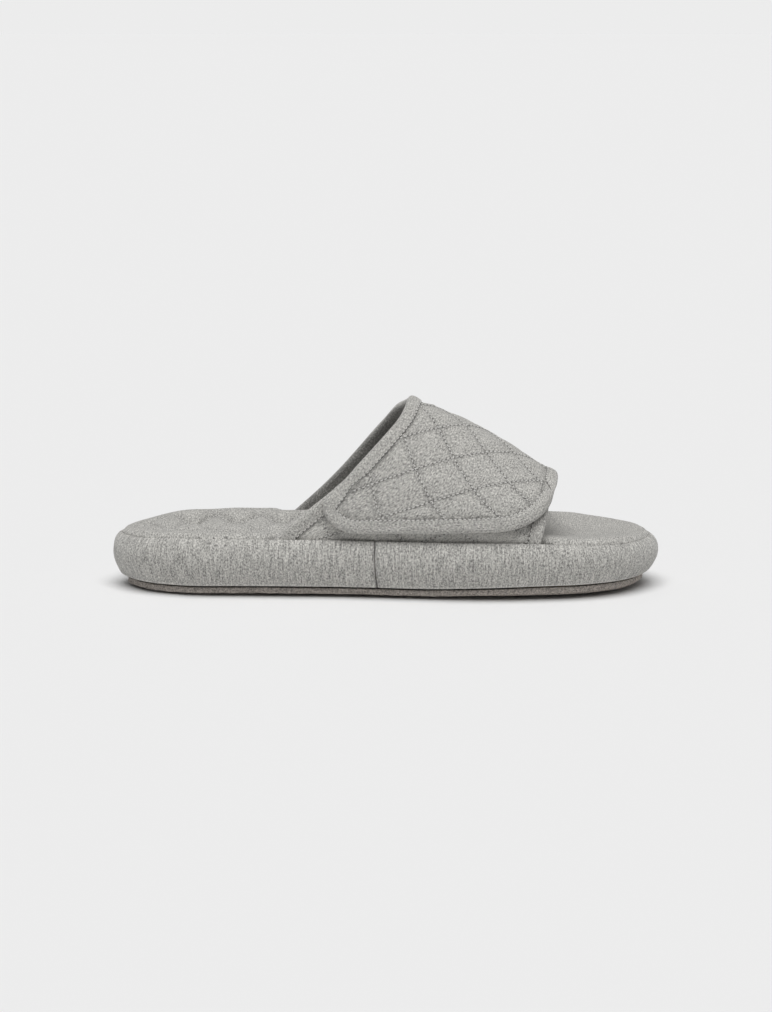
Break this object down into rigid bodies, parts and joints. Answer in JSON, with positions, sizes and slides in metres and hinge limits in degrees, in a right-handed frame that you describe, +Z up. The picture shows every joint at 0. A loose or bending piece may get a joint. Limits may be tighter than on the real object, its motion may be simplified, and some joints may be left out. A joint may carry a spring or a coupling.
{
  "type": "spa slipper",
  "caption": "Quilted open-toe spa slide for the right foot, with a cushioned platform sole and a padded wrap strap closed by hook and loop tape on the outer side.",
  "frame": {"origin": "on the ground, at the middle of the slipper's bounding box", "axes": "+X towards the toe, +Y towards the inner (big toe) side, +Z up"},
  "size_m": [0.2618, 0.1012, 0.0936],
  "materials": {
    "jersey": "matte",
    "lining_cloth": "matte",
    "wadding": "matte",
    "foam": "matte",
    "board": "matte",
    "tread_rubber": "matte",
    "tape": "matte"
  },
  "bodies": {
    "slipper": {"outsole": "tread_rubber", "bottom_filler_board": "board", "platform_foam": "foam", "memory_foam": "foam", "sock_backing": "lining_cloth", "sock_wadding": "wadding", "sock_quilted_cover": "jersey", "sidewall_wrap_front": "jersey", "sidewall_wrap_rear": "jersey", "inner_strap_shell": "jersey", "inner_strap_padding": "wadding", "inner_strap_lining": "lining_cloth", "inner_strap_binding_rear": "jersey", "inner_strap_binding_front": "jersey", "under_strap_margin": "jersey"},
    "flap": {"flap_shell": "jersey", "flap_padding": "wadding", "flap_lining": "lining_cloth", "flap_binding": "jersey", "hook_tape": "tape"},
    "under_strap": {"under_strap_shell": "jersey", "under_strap_padding": "wadding", "under_strap_lining": "lining_cloth", "under_strap_binding": "jersey", "loop_tape": "tape"}
  },
  "joints": [
    {"name": "flap_peel", "type": "hinge", "parent": "slipper", "child": "flap", "pos_m": [0.01454, 0, 0.096], "axis": [-0.8784, 0, 0.4779], "range_deg": [0, 150]},
    {"name": "under_strap_fold", "type": "hinge", "parent": "slipper", "child": "under_strap", "pos_m": [0.012, -0.0312, 0.0292], "axis": [-1, 0, 0], "range_deg": [0, 50], "stiffness_Nm_per_rad": 0.05, "springref_deg": -9.74}
  ]
}
